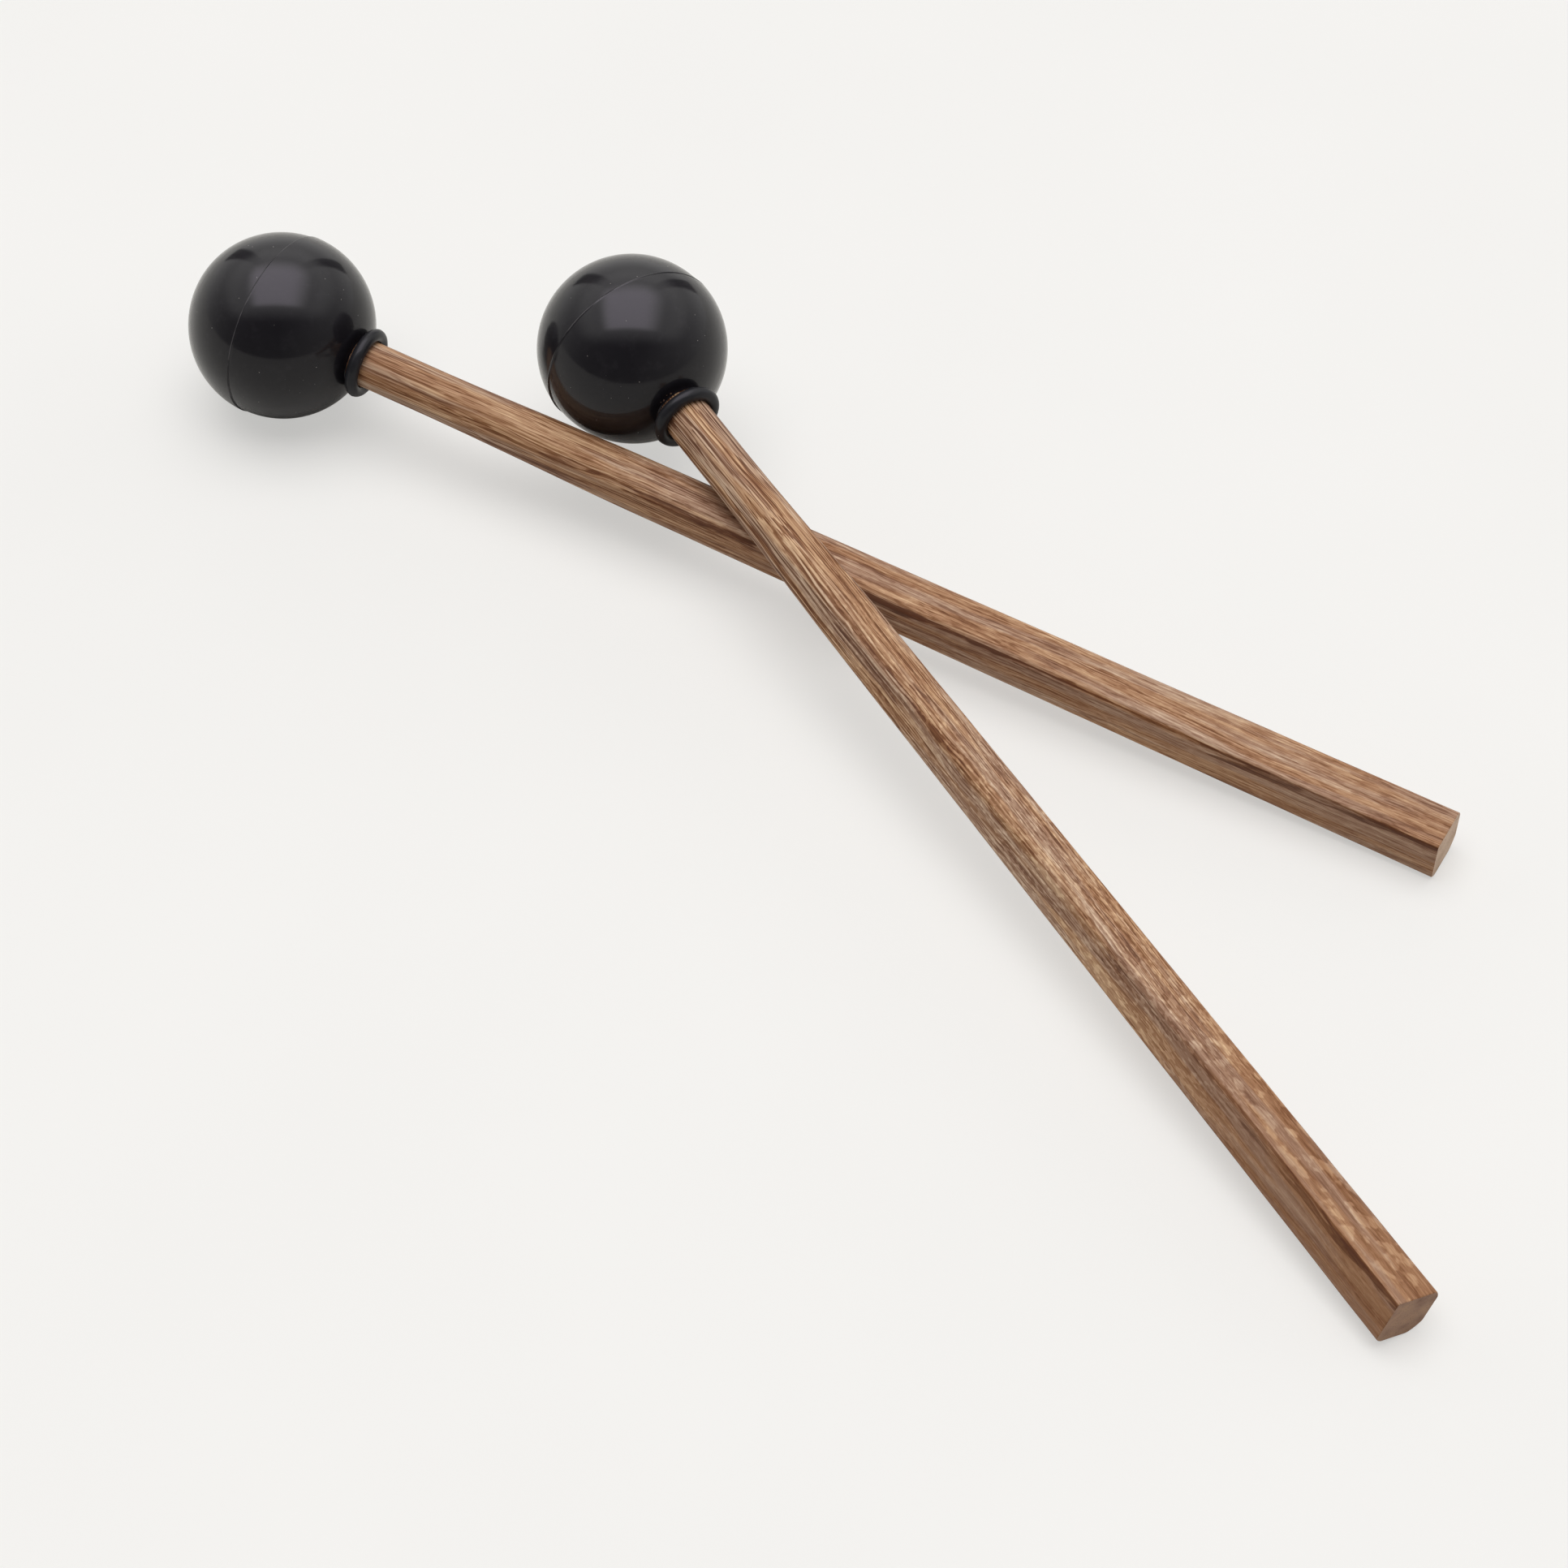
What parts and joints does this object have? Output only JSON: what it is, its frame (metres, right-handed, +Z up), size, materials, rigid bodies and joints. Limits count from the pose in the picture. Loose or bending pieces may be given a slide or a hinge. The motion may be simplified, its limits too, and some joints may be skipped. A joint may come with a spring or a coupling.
{
  "type": "ball-headed percussion mallets",
  "caption": "Crossed percussion mallets with black rubber ball heads, rubber stop rings and dark-grained hardwood sticks that run from a round neck to a squared butt.",
  "frame": {"origin": "centre of the bottom of the box around the crossed pair, on the surface that it lies on", "axes": "+Z up from the resting surface; the lower mallet lies along X with its butt towards +X, and the upper mallet's butt is towards +X and -Y"},
  "size_m": [0.2082, 0.0969, 0.0305],
  "materials": {
    "ball_rubber": "satin",
    "ring_rubber": "satin",
    "stick_wood": "satin",
    "set_adhesive": "matte"
  },
  "bodies": {
    "lower_mallet": {"lower_head": "ball_rubber", "lower_handle": "stick_wood", "lower_collar": "ring_rubber", "lower_adhesive": "set_adhesive"},
    "upper_mallet": {"upper_head": "ball_rubber", "upper_handle": "stick_wood", "upper_collar": "ring_rubber", "upper_adhesive": "set_adhesive"}
  },
  "joints": [
    {"name": "upper_lift", "type": "slide", "parent": "lower_mallet", "child": "upper_mallet", "axis": [0, 0, 1], "range_m": [0, 0.1]}
  ]
}
